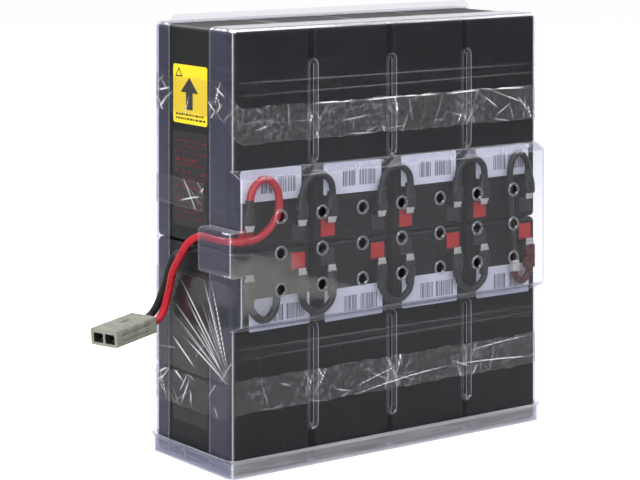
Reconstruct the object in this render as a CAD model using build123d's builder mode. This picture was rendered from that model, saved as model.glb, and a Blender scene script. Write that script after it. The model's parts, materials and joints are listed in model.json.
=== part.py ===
"""Clear-cased rack battery pack: eight sealed blocks in series, with a flying lead and power connector.

Millimetres. +X runs along the front from left to right, +Y to the back, +Z up.
The origin is the centre of the base tray's underside.
"""
import os

from build123d import *

os.makedirs("parts", exist_ok=True)

# --- Driving dimensions -------------------------------------------------------------------------

PACK_WIDTH = 276.0
PACK_DEPTH = 98.5
PACK_TOP = 305.0
WALL = 0.8

FRONT_Y = -PACK_DEPTH / 2
REAR_Y = PACK_DEPTH / 2
LEFT_X = -PACK_WIDTH / 2
SHELL_FOOT_Z = 1.2
SHELL_CORNER_R = 4.0

# Front shell
FRONT_EDGE_Y = -21.0
BAND_RISE = 10.5
BAND_Y = FRONT_Y - BAND_RISE
BAND_LOW_Z = 99.5
BAND_HIGH_Z = 208.5
BAND_SLOPE = 5.0
GROOVE_WIDTH = 7.5
GROOVE_FLOOR = 2.6
GROOVE_DEPTH = 2.5
UPPER_GROOVE = (210.0, 281.0)
LOWER_GROOVE = (25.0, 98.0)
VENT_R = 3.75
VENT_RIM_R = 4.9
VENT_RIM_RISE = 0.7
VENT_COLUMNS = 7
VENT_ROWS = 3
VENT_PITCH_X = 35.0
VENT_PITCH_Z = 25.0
VENT_CENTRE_Z = 151.5

# Cable duct on the left wall
DUCT_BULGE = 9.0
DUCT_LOW_Z = 138.0
DUCT_HIGH_Z = 169.0

# Rear shell
REAR_EDGE_Y = 31.0
RIM_RISE = 5.5
RIM_CORNER_R = 8.0
RIM_FOOT_Z = 16.0

# Base tray
TRAY_HEIGHT = 13.0
TRAY_GAP = 0.5
TRAY_WALL = 0.9
TRAY_FLOOR = 1.0
TRAY_LIP = 2.2

# Sealed battery block, lying on its back with its lid to the front
CELL_BLOCK_W = 65.0
CELL_BLOCK_L = 151.0
CELL_BLOCK_H = 94.0
CELL_BLOCK_CORNER_R = 3.5
LID_EDGE_R = 3.0
COLUMN_PITCH = 69.5
ROW_GAP = 0.6
MID_Z = SHELL_FOOT_Z + CELL_BLOCK_L + ROW_GAP / 2
LID_FRONT_Y = FRONT_Y + 1.45
LID_THICKNESS = 8.0
CASE_FRONT_Y = LID_FRONT_Y + LID_THICKNESS
CASE_REAR_Y = LID_FRONT_Y + CELL_BLOCK_H
CASE_WALL = 2.0
CELLS = 6
CELL_PITCH = 24.5
CELL_LENGTH = 23.0
CASE_HEADSPACE = 6.0

# Terminals: offsets are from a block's centre line and from the middle line between the two rows
TERMINAL_X = 22.0
INSERT_OFFSET = 10.2
INSERT_SIZE = 11.6
INSERT_POCKET = 1.8
INSERT_PROUD = 0.6
TAB_OFFSET = 15.0
TAB_WIDTH = 6.3
TAB_THICKNESS = 0.8
TAB_LENGTH = 9.5
TAB_Y = LID_FRONT_Y - 5.2
RECEPTACLE_OFFSET = 17.0
RECEPTACLE_LENGTH = 11.0
SLEEVE_OFFSET = 19.5
SLEEVE_LENGTH = 16.5

# Wires
JUMPER_R = 2.4
LEAD_R = 2.6
WIRE_START = RECEPTACLE_OFFSET + RECEPTACLE_LENGTH + 0.05
WIRE_STRAIGHT = 35.5
PIVOT_GAP = 1.7
UPPER_LOOP_REACH = 49.5
LOWER_LOOP_REACH = 46.5

# Lead and connector
SPREAD_PIVOT = Vector(-142.0, -19.2, 157.0)
LIFT_PIVOT = Vector(-146.5, 9.5, 140.0)
TILT_PIVOT = Vector(-153.2, 31.4, 96.5)
PLUG_AXIS = Vector(-0.954, -0.278, -0.093).normalized()
PLUG_ACROSS = Vector(0.27966, -0.96, 0.0).normalized()
PLUG_LENGTH = 41.0
PLUG_WIDTH = 24.0
PLUG_HEIGHT = 11.5
PLUG_POLE_PITCH = 10.6
PLUG_SETBACK = 6.0

# Labels and tape
LABEL_THICKNESS = 0.15
TAPE_THICKNESS = 0.3
TAPE_CLEARANCE = 0.06
UPPER_TAPE = (226.0, 247.0)
LOWER_TAPE = (43.0, 66.0)

column_x = [(i - 1.5) * COLUMN_PITCH for i in range(4)]
seam_x = [(i - 1.0) * COLUMN_PITCH for i in range(3)]
# Blocks 1 to 4 are the upper row from the left, 5 to 8 the lower row; side is +1 above the middle line
blocks = [(x, 1) for x in column_x] + [(x, -1) for x in column_x]


def save(part, name):
    """Label one piece and write its STEP file."""
    part.label = name
    export_step(part, f"parts/{name}.step")


def front_plane(y):
    """Plane facing the front at depth y, with X to the right and Z up."""
    return Plane.XZ.offset(-y)


def block_centre_z(side):
    return MID_Z + side * (ROW_GAP / 2 + CELL_BLOCK_L / 2)


# --- Clear shells -------------------------------------------------------------------------------

def panel_form(inset):
    """Front panel with its side and top walls; an inset copy runs on past the open back and foot."""
    overrun = 1.0 if inset else 0.0
    low_z = SHELL_FOOT_Z - overrun
    high_z = PACK_TOP - inset
    near_y = FRONT_Y + inset
    far_y = FRONT_EDGE_Y + overrun
    with BuildPart() as form:
        with Locations((0, (near_y + far_y) / 2, (low_z + high_z) / 2)):
            Box(PACK_WIDTH - 2 * inset, far_y - near_y, high_z - low_z)
        front_edges = form.faces().sort_by(Axis.Y)[0].edges().sort_by(Axis.Z)[1:]
        top_edges = form.faces().sort_by(Axis.Z)[-1].edges().filter_by(Axis.Y)
        fillet(front_edges + top_edges, SHELL_CORNER_R - inset)
    return form.part


def band_form(inset):
    """Raised band across the middle, with sloped upper and lower edges."""
    with BuildPart() as form:
        with BuildSketch(Plane.YZ.offset(LEFT_X + inset)):
            with BuildLine():
                Polyline(
                    (FRONT_Y + 6.0, BAND_LOW_Z + inset),
                    (FRONT_Y + inset, BAND_LOW_Z + inset),
                    (BAND_Y + inset, BAND_LOW_Z + BAND_SLOPE + inset),
                    (BAND_Y + inset, BAND_HIGH_Z - BAND_SLOPE - inset),
                    (FRONT_Y + inset, BAND_HIGH_Z - inset),
                    (FRONT_Y + 6.0, BAND_HIGH_Z - inset),
                    close=True,
                )
            make_face()
        extrude(amount=PACK_WIDTH - 2 * inset)
        end_edges = form.faces().sort_by(Axis.Y)[0].edges().filter_by(Axis.Z)
        fillet(end_edges, SHELL_CORNER_R - inset)
    return form.part


def duct_form(inset):
    """Cable duct bulging from the left wall, open at its back end."""
    overrun = 1.0 if inset else 0.0
    near_y = BAND_Y + inset
    far_y = FRONT_EDGE_Y + overrun
    left_x = LEFT_X - DUCT_BULGE + inset
    right_x = LEFT_X + 5.0
    low_z = DUCT_LOW_Z + inset
    high_z = DUCT_HIGH_Z - inset
    with BuildPart() as form:
        with Locations(((left_x + right_x) / 2, (near_y + far_y) / 2, (low_z + high_z) / 2)):
            Box(right_x - left_x, far_y - near_y, high_z - low_z)
        outer_face = form.faces().sort_by(Axis.X)[0]
        fillet(outer_face.edges().sort_by(Axis.Y)[:-1], 3.0 - inset)
    return form.part


def groove_form(inset):
    """Locating grooves pressed in between the block columns, narrowing towards their floors."""
    with BuildPart() as form:
        for low_z, high_z in (UPPER_GROOVE, LOWER_GROOVE):
            for x in seam_x:
                length = high_z - low_z
                mouth_w = GROOVE_WIDTH + 2 * inset
                floor_w = GROOVE_FLOOR + 2 * inset
                with BuildSketch(front_plane(FRONT_Y + inset)):
                    with Locations((x, (low_z + high_z) / 2)):
                        SlotOverall(length + 2 * inset, mouth_w, rotation=90)
                with BuildSketch(front_plane(FRONT_Y + inset + GROOVE_DEPTH)):
                    with Locations((x, (low_z + high_z) / 2)):
                        SlotOverall(length - (mouth_w - floor_w), floor_w, rotation=90)
                loft()
    return form.part


def front_form(inset):
    with BuildPart() as form:
        add(panel_form(inset))
        add(band_form(inset))
        add(duct_form(inset))
        add(groove_form(inset), mode=Mode.SUBTRACT)
    return form.part


with BuildPart() as front_shell:
    add(front_form(0.0))
    add(front_form(WALL), mode=Mode.SUBTRACT)
    with BuildSketch(front_plane(BAND_Y)):
        with Locations((0, VENT_CENTRE_Z)):
            with GridLocations(VENT_PITCH_X, VENT_PITCH_Z, VENT_COLUMNS, VENT_ROWS):
                Circle(VENT_RIM_R)
    extrude(amount=VENT_RIM_RISE)
    with BuildSketch(front_plane(BAND_Y - VENT_RIM_RISE)):
        with Locations((0, VENT_CENTRE_Z)):
            with GridLocations(VENT_PITCH_X, VENT_PITCH_Z, VENT_COLUMNS, VENT_ROWS):
                Circle(VENT_R)
    extrude(amount=-3.0, mode=Mode.SUBTRACT)
save(front_shell.part, "front_shell")


def rear_form(inset):
    """Rear panel with its side and top walls; an inset copy runs on past the open front and foot."""
    overrun = 1.0 if inset else 0.0
    low_z = SHELL_FOOT_Z - overrun
    high_z = PACK_TOP - inset
    near_y = REAR_EDGE_Y - overrun
    far_y = REAR_Y - inset
    with BuildPart() as form:
        with Locations((0, (near_y + far_y) / 2, (low_z + high_z) / 2)):
            Box(PACK_WIDTH - 2 * inset, far_y - near_y, high_z - low_z)
        back_edges = form.faces().sort_by(Axis.Y)[-1].edges().sort_by(Axis.Z)[1:]
        top_edges = form.faces().sort_by(Axis.Z)[-1].edges().filter_by(Axis.Y)
        fillet(back_edges + top_edges, SHELL_CORNER_R - inset)
    return form.part


with BuildPart() as rear_shell:
    add(rear_form(0.0))
    # Standing rim round the open edge, proud of the top
    rim_top_z = PACK_TOP + RIM_RISE
    with BuildSketch(front_plane(REAR_EDGE_Y)):
        with Locations((0, (RIM_FOOT_Z + rim_top_z) / 2)):
            Rectangle(PACK_WIDTH, rim_top_z - RIM_FOOT_Z)
    extrude(amount=WALL)
    rim_corners = rear_shell.edges().filter_by(Axis.Y).group_by(Axis.Z)[-1]
    fillet(rim_corners, RIM_CORNER_R)
    add(rear_form(WALL), mode=Mode.SUBTRACT)
save(rear_shell.part, "rear_shell")


def tray_outline(grow, corner_r):
    RectangleRounded(PACK_WIDTH + 2 * grow, PACK_DEPTH + 2 * grow, corner_r)


with BuildPart() as base_tray:
    outer_grow = TRAY_GAP + TRAY_WALL
    with BuildSketch(Plane.XY):
        tray_outline(outer_grow, SHELL_CORNER_R + outer_grow)
    extrude(amount=TRAY_HEIGHT)
    # Lip flared out round the top edge
    with BuildSketch(Plane.XY.offset(TRAY_HEIGHT - TRAY_LIP - TRAY_WALL)):
        tray_outline(outer_grow, SHELL_CORNER_R + outer_grow)
    with BuildSketch(Plane.XY.offset(TRAY_HEIGHT)):
        tray_outline(outer_grow + TRAY_LIP, SHELL_CORNER_R + outer_grow + TRAY_LIP)
    loft()
    with BuildSketch(Plane.XY.offset(TRAY_FLOOR)):
        tray_outline(TRAY_GAP, SHELL_CORNER_R + TRAY_GAP)
    extrude(amount=TRAY_HEIGHT, mode=Mode.SUBTRACT)
    with BuildSketch(Plane.XY.offset(TRAY_HEIGHT - TRAY_LIP)):
        tray_outline(TRAY_GAP, SHELL_CORNER_R + TRAY_GAP)
    with BuildSketch(Plane.XY.offset(TRAY_HEIGHT)):
        tray_outline(TRAY_GAP + TRAY_LIP, SHELL_CORNER_R + TRAY_GAP + TRAY_LIP)
    loft(mode=Mode.SUBTRACT)
    # Moulded button low on the left wall
    with BuildSketch(Plane.YZ.offset(LEFT_X - outer_grow)):
        with Locations((9.0, 6.0)):
            Circle(3.0)
    extrude(amount=-0.8, taper=20)
save(base_tray.part, "base_tray")


# --- Battery blocks -----------------------------------------------------------------------------

def cell_centres(side):
    """Heights of the six cells of a block above or below the middle line."""
    return [block_centre_z(side) + (i - (CELLS - 1) / 2) * CELL_PITCH for i in range(CELLS)]


def battery_case(x, side):
    """Moulded case with six cells and head space under the lid."""
    centre_z = block_centre_z(side)
    depth = CASE_REAR_Y - CASE_FRONT_Y
    with BuildPart() as case:
        with BuildSketch(front_plane(CASE_REAR_Y)):
            with Locations((x, centre_z)):
                RectangleRounded(CELL_BLOCK_W, CELL_BLOCK_L, CELL_BLOCK_CORNER_R)
        extrude(amount=depth)
        fillet(case.faces().sort_by(Axis.Y)[-1].edges(), 1.2)
        with BuildSketch(front_plane(CASE_FRONT_Y)):
            with Locations((x, centre_z)):
                Rectangle(CELL_BLOCK_W - 2 * CASE_WALL, CELL_BLOCK_L - 2 * CASE_WALL)
        extrude(amount=-CASE_HEADSPACE, mode=Mode.SUBTRACT)
        with BuildSketch(front_plane(CASE_FRONT_Y)):
            with Locations((x, centre_z)):
                with GridLocations(1, CELL_PITCH, 1, CELLS):
                    Rectangle(CELL_BLOCK_W - 2 * CASE_WALL, CELL_LENGTH)
        extrude(amount=-(depth - CASE_WALL), mode=Mode.SUBTRACT)
    return case.part


def battery_lid(x, side):
    """Lid with a recess for the vent cover strip, six valve wells and two terminal pockets."""
    centre_z = block_centre_z(side)
    with BuildPart() as lid:
        with BuildSketch(front_plane(CASE_FRONT_Y)):
            with Locations((x, centre_z)):
                RectangleRounded(CELL_BLOCK_W, CELL_BLOCK_L, CELL_BLOCK_CORNER_R)
        extrude(amount=LID_THICKNESS)
        fillet(lid.faces().sort_by(Axis.Y)[0].edges(), LID_EDGE_R)
        with BuildSketch(front_plane(LID_FRONT_Y)):
            with Locations((x, centre_z)):
                RectangleRounded(17.0, 139.0, 3.0)
        extrude(amount=-1.2, mode=Mode.SUBTRACT)
        with BuildSketch(front_plane(LID_FRONT_Y + 1.2)):
            with Locations((x, centre_z)):
                with GridLocations(1, CELL_PITCH, 1, CELLS):
                    Circle(5.6)
        extrude(amount=-4.4, mode=Mode.SUBTRACT)
        with BuildSketch(front_plane(LID_FRONT_Y)):
            for hand in (-1, 1):
                with Locations((x + hand * TERMINAL_X, MID_Z + side * INSERT_OFFSET)):
                    Rectangle(INSERT_SIZE + 0.3, INSERT_SIZE + 0.3)
        extrude(amount=-INSERT_POCKET, mode=Mode.SUBTRACT)
    return lid.part


for number, (x, side) in enumerate(blocks, start=1):
    save(battery_case(x, side), f"battery_case_{number}")
    save(battery_lid(x, side), f"battery_lid_{number}")


def plate_stacks(side):
    """One comb of plates in each cell of a row of blocks."""
    comb_back_y = CASE_REAR_Y - CASE_WALL - 2.0
    comb_front_y = CASE_FRONT_Y + CASE_HEADSPACE + 4.0
    cell_points = [(x, z) for x in column_x for z in cell_centres(side)]
    with BuildPart() as stacks:
        with BuildSketch(front_plane(comb_back_y)):
            with Locations(*cell_points):
                with GridLocations(1, 4.2, 1, 5):
                    Rectangle(56.0, 2.4)
        extrude(amount=comb_back_y - comb_front_y)
        with BuildSketch(front_plane(comb_front_y)):
            with Locations(*[(x - 18.0, z) for x, z in cell_points]):
                Rectangle(10.0, 19.2)
        extrude(amount=3.0)
    return stacks.part


save(plate_stacks(1), "plate_stacks_upper")
save(plate_stacks(-1), "plate_stacks_lower")

with BuildPart() as cell_straps:
    with BuildSketch(front_plane(CASE_FRONT_Y + 4.5)):
        for x, side in blocks:
            with Locations((x + 14.0, block_centre_z(side))):
                with GridLocations(1, CELL_PITCH, 1, CELLS - 1):
                    RectangleRounded(9.0, 14.0, 2.0)
    extrude(amount=3.2)
save(cell_straps.part, "cell_straps")

with BuildPart() as valve_caps:
    with BuildSketch(front_plane(LID_FRONT_Y + 5.5)):
        for x, side in blocks:
            with Locations((x, block_centre_z(side))):
                with GridLocations(1, CELL_PITCH, 1, CELLS):
                    Circle(5.2)
                    Circle(2.6, mode=Mode.SUBTRACT)
    extrude(amount=3.0)
    with BuildSketch(front_plane(LID_FRONT_Y + 2.5)):
        for x, side in blocks:
            with Locations((x, block_centre_z(side))):
                with GridLocations(1, CELL_PITCH, 1, CELLS):
                    Circle(5.2)
    extrude(amount=1.0)
save(valve_caps.part, "valve_caps")

with BuildPart() as vent_cover_strips:
    with BuildSketch(front_plane(LID_FRONT_Y + 1.15)):
        for x, side in blocks:
            with Locations((x, block_centre_z(side))):
                RectangleRounded(16.6, 138.6, 2.8)
    extrude(amount=1.15)
save(vent_cover_strips.part, "vent_cover_strips")

# --- Terminals ----------------------------------------------------------------------------------

# Upper blocks carry + at the left, lower blocks at the right; each entry is (x, side)
positive_terminals = [(x - side * TERMINAL_X, side) for x, side in blocks]
negative_terminals = [(x + side * TERMINAL_X, side) for x, side in blocks]
all_terminals = positive_terminals + negative_terminals


def terminal_inserts(terminals):
    """Square plastic inserts, each with a slot for its tab."""
    with BuildPart() as inserts:
        with BuildSketch(front_plane(LID_FRONT_Y + INSERT_POCKET)):
            for x, side in terminals:
                with Locations((x, MID_Z + side * INSERT_OFFSET)):
                    Rectangle(INSERT_SIZE, INSERT_SIZE)
                with Locations((x, MID_Z + side * TAB_OFFSET)):
                    Rectangle(TAB_WIDTH + 0.2, TAB_THICKNESS + 0.2, mode=Mode.SUBTRACT)
        extrude(amount=INSERT_POCKET + INSERT_PROUD)
    return inserts.part


def terminal_tabs(terminals):
    """Tabs that stand up from the lid and bend away from the middle line."""
    root_y = LID_FRONT_Y + INSERT_POCKET
    with BuildPart() as tabs:
        for x, side in terminals:
            foot_z = MID_Z + side * TAB_OFFSET
            outer_z = foot_z - side * TAB_THICKNESS / 2
            blade_z = outer_z + side * TAB_LENGTH / 2
            with Locations((x, (root_y + TAB_Y - TAB_THICKNESS / 2) / 2, foot_z)):
                Box(TAB_WIDTH, root_y - TAB_Y + TAB_THICKNESS / 2, TAB_THICKNESS)
            with Locations((x, TAB_Y, blade_z)):
                Box(TAB_WIDTH, TAB_THICKNESS, TAB_LENGTH)
    return tabs.part


save(terminal_inserts(positive_terminals), "positive_inserts")
save(terminal_inserts(negative_terminals), "negative_inserts")
save(terminal_tabs(positive_terminals), "positive_tabs")
save(terminal_tabs(negative_terminals), "negative_tabs")


def along_terminals(terminals, offset, length, outer, inner=None):
    """Rounded bars or tubes that start a set distance from the middle line and run away from it."""
    with BuildPart() as bars:
        for x, side in terminals:
            with BuildSketch(Plane.XY.offset(MID_Z + side * offset)):
                with Locations((x, TAB_Y)):
                    RectangleRounded(*outer)
                    if inner:
                        RectangleRounded(*inner, mode=Mode.SUBTRACT)
            extrude(amount=side * length)
    return bars.part


receptacle_section = (7.6, 2.8, 0.9)
receptacle_slot = (TAB_WIDTH + 0.2, TAB_THICKNESS + 0.2, 0.1)
sleeve_outer = (9.4, 6.6, 3.0)
sleeve_inner = (8.2, 5.4, 2.5)
link_terminal = positive_terminals[7]
sleeved_terminals = [terminal for terminal in all_terminals if terminal is not link_terminal]

with BuildPart() as tab_receptacles:
    add(along_terminals(all_terminals, RECEPTACLE_OFFSET, RECEPTACLE_LENGTH, receptacle_section))
    add(along_terminals(all_terminals, RECEPTACLE_OFFSET, 8.5, receptacle_slot), mode=Mode.SUBTRACT)
save(tab_receptacles.part, "tab_receptacles")

sleeves = along_terminals(sleeved_terminals, SLEEVE_OFFSET, SLEEVE_LENGTH, sleeve_outer, sleeve_inner)
save(sleeves, "receptacle_sleeves")
save(along_terminals([link_terminal], SLEEVE_OFFSET, SLEEVE_LENGTH, sleeve_outer, sleeve_inner), "link_sleeve")


# --- Wiring -------------------------------------------------------------------------------------

def smooth_run(points, start_direction, end_direction):
    """Chain of Bezier curves through the points, smooth at every joint and free of overshoot."""
    knots = [Vector(point) for point in points]
    directions = [Vector(start_direction)]
    directions += [(after - before).normalized() for before, after in zip(knots, knots[2:])]
    directions.append(Vector(end_direction))
    for i in range(len(knots) - 1):
        handle = (knots[i + 1] - knots[i]).length * 0.36
        near_handle = knots[i] + directions[i] * handle
        far_handle = knots[i + 1] - directions[i + 1] * handle
        Bezier(knots[i], near_handle, far_handle, knots[i + 1])


def wire(points, radius, start_direction, end_direction):
    """Round wire swept along a smooth curve through the points."""
    with BuildPart() as swept:
        with BuildLine() as path:
            smooth_run(points, start_direction, end_direction)
        with BuildSketch(Plane(origin=path.line @ 0, z_dir=path.line % 0)):
            Circle(radius)
        sweep()
    return swept.part


def jumper(left, right, side):
    """Loop from one terminal over to the next column's, bulging to the right."""
    left_x, right_x = left[0], right[0]
    middle_x = (left_x + right_x) / 2
    reach = UPPER_LOOP_REACH if side > 0 else LOWER_LOOP_REACH
    points = [
        (left_x, TAB_Y, MID_Z + side * WIRE_START),
        (left_x + 0.3, TAB_Y, MID_Z + side * WIRE_STRAIGHT),
        (left_x + 4.0, TAB_Y, MID_Z + side * (reach - 4.5)),
        (middle_x + 0.5, TAB_Y, MID_Z + side * reach),
        (right_x - 2.0, TAB_Y, MID_Z + side * (reach - 5.0)),
        (right_x + 0.8, TAB_Y, MID_Z + side * WIRE_STRAIGHT),
        (right_x, TAB_Y, MID_Z + side * WIRE_START),
    ]
    return wire(points, JUMPER_R, (0, 0, side), (0, 0, -side))


for i in range(3):
    save(jumper(negative_terminals[i], positive_terminals[i + 1], 1), f"jumper_upper_{i + 1}")
    save(jumper(positive_terminals[i + 4], negative_terminals[i + 5], -1), f"jumper_lower_{i + 1}")

# Link between the rows at the right: black wire, crimp and a short pigtail to the lower terminal
link_x = negative_terminals[3][0]
crimp_centre = (link_x - 14.0, TAB_Y, MID_Z - 33.5)
row_link_points = [
    (link_x, TAB_Y, MID_Z + WIRE_START),
    (link_x - 0.3, TAB_Y, MID_Z + WIRE_STRAIGHT),
    (link_x - 3.5, TAB_Y, MID_Z + 44.5),
    (link_x - 10.0, TAB_Y, MID_Z + UPPER_LOOP_REACH),
    (link_x - 16.5, TAB_Y, MID_Z + 44.0),
    (link_x - 18.8, TAB_Y, MID_Z + 33.0),
    (link_x - 18.5, TAB_Y, MID_Z + 14.0),
    (link_x - 17.0, TAB_Y, MID_Z - 8.0),
    (link_x - 14.0, TAB_Y, MID_Z - 29.4),
]
save(wire(row_link_points, JUMPER_R, (0, 0, 1), (0, 0, -1)), "row_link_wire")

with BuildPart() as link_crimp:
    with Locations(crimp_centre):
        Box(6.6, 4.4, 8.0)
    fillet(link_crimp.edges().filter_by(Axis.Z), 1.6)
save(link_crimp.part, "link_crimp")

pigtail_points = [
    (link_x - 14.0, TAB_Y, MID_Z - 37.6),
    (link_x - 12.2, TAB_Y, MID_Z - 42.5),
    (link_x - 7.0, TAB_Y, MID_Z - 45.5),
    (link_x - 2.0, TAB_Y, MID_Z - 42.0),
    (link_x - 0.2, TAB_Y, MID_Z - WIRE_STRAIGHT),
    (link_x, TAB_Y, MID_Z - WIRE_START),
]
save(wire(pigtail_points, JUMPER_R, (0, 0, -1), (0, 0, 1)), "link_pigtail")

# Main leads, from the two left-hand terminals through the duct
duct_x = LEFT_X - 4.0
red_exit = Vector(SPREAD_PIVOT.X, SPREAD_PIVOT.Y, 161.5)
black_exit = Vector(SPREAD_PIVOT.X, SPREAD_PIVOT.Y, 152.5)
exit_direction = Vector(0, 1, 0)
left_terminal_x = positive_terminals[0][0]

red_inner_points = [
    (left_terminal_x, TAB_Y, MID_Z + WIRE_START),
    (left_terminal_x + 0.3, TAB_Y, MID_Z + WIRE_STRAIGHT),
    (left_terminal_x + 4.0, TAB_Y, MID_Z + 44.8),
    (left_terminal_x + 12.5, TAB_Y, MID_Z + UPPER_LOOP_REACH),
    (left_terminal_x + 21.0, TAB_Y, MID_Z + 44.5),
    (left_terminal_x + 24.5, TAB_Y, MID_Z + 34.0),
    (left_terminal_x + 21.5, TAB_Y, MID_Z + 21.5),
    (left_terminal_x + 8.0, TAB_Y - 1.0, MID_Z + 10.6),
    (LEFT_X + 4.0, TAB_Y - 1.0, MID_Z + 8.8),
    (duct_x, TAB_Y + 9.0, 161.4),
    red_exit - exit_direction * PIVOT_GAP,
]
save(wire(red_inner_points, LEAD_R, (0, 0, 1), exit_direction), "lead_red_inner")

black_inner_points = [
    (left_terminal_x, TAB_Y, MID_Z - WIRE_START),
    (left_terminal_x + 0.3, TAB_Y, MID_Z - WIRE_STRAIGHT),
    (left_terminal_x + 4.5, TAB_Y, MID_Z - 42.5),
    (left_terminal_x + 12.0, TAB_Y, MID_Z - LOWER_LOOP_REACH),
    (left_terminal_x + 19.5, TAB_Y, MID_Z - 42.0),
    (left_terminal_x + 22.5, TAB_Y, MID_Z - 33.0),
    (left_terminal_x + 20.0, TAB_Y, MID_Z - 18.0),
    (left_terminal_x + 9.0, TAB_Y - 1.0, MID_Z - 5.0),
    (LEFT_X + 4.0, TAB_Y - 1.0, MID_Z - 1.0),
    (duct_x, TAB_Y + 9.0, 152.2),
    black_exit - exit_direction * PIVOT_GAP,
]
save(wire(black_inner_points, LEAD_R, (0, 0, -1), exit_direction), "lead_black_inner")

# Flying lead: an upper run to the lift pivot and a lower run to the connector
hang_direction = Vector(0, 0.66, -0.75).normalized()
red_lift = Vector(LIFT_PIVOT.X + 2.9, LIFT_PIVOT.Y, LIFT_PIVOT.Z)
black_lift = Vector(LIFT_PIVOT.X - 2.9, LIFT_PIVOT.Y, LIFT_PIVOT.Z)
red_tilt = TILT_PIVOT + PLUG_ACROSS * (PLUG_POLE_PITCH / 2)
black_tilt = TILT_PIVOT - PLUG_ACROSS * (PLUG_POLE_PITCH / 2)


def lead_run(start, start_direction, end, end_direction, between):
    points = [start + start_direction * PIVOT_GAP, *between, end - end_direction * PIVOT_GAP]
    return wire(points, LEAD_R, start_direction, end_direction)


red_upper_between = [(-142.2, -3.0, 155.2)]
black_upper_between = [(-146.6, -5.5, 148.6)]
save(lead_run(red_exit, exit_direction, red_lift, hang_direction, red_upper_between), "lead_red_upper")
save(lead_run(black_exit, exit_direction, black_lift, hang_direction, black_upper_between), "lead_black_upper")

red_lower_between = [(-143.4, 21.5, 117.0), (-145.6, 25.6, 101.5)]
black_lower_between = [(-149.0, 24.5, 118.0), (-149.2, 35.0, 102.0)]
save(lead_run(red_lift, hang_direction, red_tilt, PLUG_AXIS, red_lower_between), "lead_red_lower")
save(lead_run(black_lift, hang_direction, black_tilt, PLUG_AXIS, black_lower_between), "lead_black_lower")

# --- Power connector ----------------------------------------------------------------------------

plug_back = TILT_PIVOT + PLUG_AXIS * PLUG_SETBACK
plug_plane = Plane(origin=plug_back, x_dir=PLUG_ACROSS, z_dir=PLUG_AXIS)
pole_x = (PLUG_POLE_PITCH / 2, -PLUG_POLE_PITCH / 2)

with BuildPart() as connector_housing:
    with BuildSketch(plug_plane):
        RectangleRounded(PLUG_WIDTH, PLUG_HEIGHT, 1.4)
    extrude(amount=PLUG_LENGTH)
    # Finger ribs along both sides
    with BuildSketch(plug_plane.offset(6.0)):
        for hand in (-1, 1):
            with Locations((hand * PLUG_WIDTH / 2, 2.2), (hand * PLUG_WIDTH / 2, -2.2)):
                Rectangle(1.6, 1.4)
    extrude(amount=PLUG_LENGTH - 12.0, mode=Mode.SUBTRACT)
    # Mating openings at the front and wire bores at the back
    with BuildSketch(plug_plane.offset(PLUG_LENGTH)):
        with Locations((pole_x[0], -0.4), (pole_x[1], -0.4)):
            RectangleRounded(9.0, 6.8, 0.8)
    extrude(amount=-24.0, mode=Mode.SUBTRACT)
    with BuildSketch(plug_plane):
        with Locations((pole_x[0], 0), (pole_x[1], 0)):
            Circle(LEAD_R + 0.3)
    extrude(amount=17.0, mode=Mode.SUBTRACT)
    # Latch window and key slot on the top face
    with BuildSketch(plug_plane.offset(13.0)):
        with Locations((0, PLUG_HEIGHT / 2)):
            Rectangle(5.0, 1.6)
    extrude(amount=9.0, mode=Mode.SUBTRACT)
save(connector_housing.part, "connector_housing")

with BuildPart() as connector_contacts:
    with BuildSketch(plug_plane.offset(13.2)):
        with Locations((pole_x[0], 0), (pole_x[1], 0)):
            Circle(LEAD_R + 0.2)
    extrude(amount=3.8)
    with BuildSketch(plug_plane.offset(17.0)):
        with Locations((pole_x[0], 0.6), (pole_x[1], 0.6)):
            Rectangle(6.4, 1.8)
    extrude(amount=18.0)
save(connector_contacts.part, "connector_contacts")

with BuildPart() as contact_springs:
    with BuildSketch(plug_plane.offset(19.0)):
        with Locations((pole_x[0], -2.9), (pole_x[1], -2.9)):
            Rectangle(5.0, 0.7)
    extrude(amount=17.0)
save(contact_springs.part, "contact_springs")


def plug_stub(pole_centre):
    """Short end of a lead, gripped in the connector."""
    start = pole_centre + PLUG_AXIS * PIVOT_GAP
    with BuildPart() as stub:
        with BuildSketch(Plane(origin=start, z_dir=PLUG_AXIS)):
            Circle(LEAD_R)
        extrude(amount=PLUG_SETBACK + 13.0 - PIVOT_GAP)
    return stub.part


save(plug_stub(red_tilt), "connector_stub_red")
save(plug_stub(black_tilt), "connector_stub_black")

# --- Labels, padding and tape -------------------------------------------------------------------

left_side_x = column_x[0] - CELL_BLOCK_W / 2

with BuildPart() as orientation_label:
    with BuildSketch(Plane.YZ.offset(left_side_x)):
        with Locations((4.5, 256.0)):
            RectangleRounded(43.0, 41.0, 2.0)
    extrude(amount=-LABEL_THICKNESS)
save(orientation_label.part, "orientation_label")

with BuildPart() as side_labels:
    with BuildSketch(Plane.YZ.offset(left_side_x)):
        with Locations((4.5, 197.0)):
            RectangleRounded(44.0, 66.0, 1.5)
        with Locations((4.5, 80.0)):
            RectangleRounded(44.0, 106.0, 1.5)
    extrude(amount=-LABEL_THICKNESS)
save(side_labels.part, "side_labels")

with BuildPart() as lid_labels:
    with BuildSketch(front_plane(LID_FRONT_Y)):
        for x, side in blocks:
            with Locations((x, MID_Z + side * 44.0)):
                RectangleRounded(51.0, 22.0, 1.5)
    extrude(amount=LABEL_THICKNESS)
save(lid_labels.part, "lid_labels")

with BuildPart() as rear_foam_pad:
    with Locations((0, (CASE_REAR_Y + REAR_Y - WALL) / 2, MID_Z)):
        Box(PACK_WIDTH - 16.0, REAR_Y - WALL - CASE_REAR_Y - 0.05, 290.0)
save(rear_foam_pad.part, "rear_foam_pad")

with BuildPart() as column_separators:
    for x in seam_x:
        with Locations((x, 3.0, MID_Z)):
            Box(3.4, 84.0, 292.0)
save(column_separators.part, "column_separators")


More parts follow.
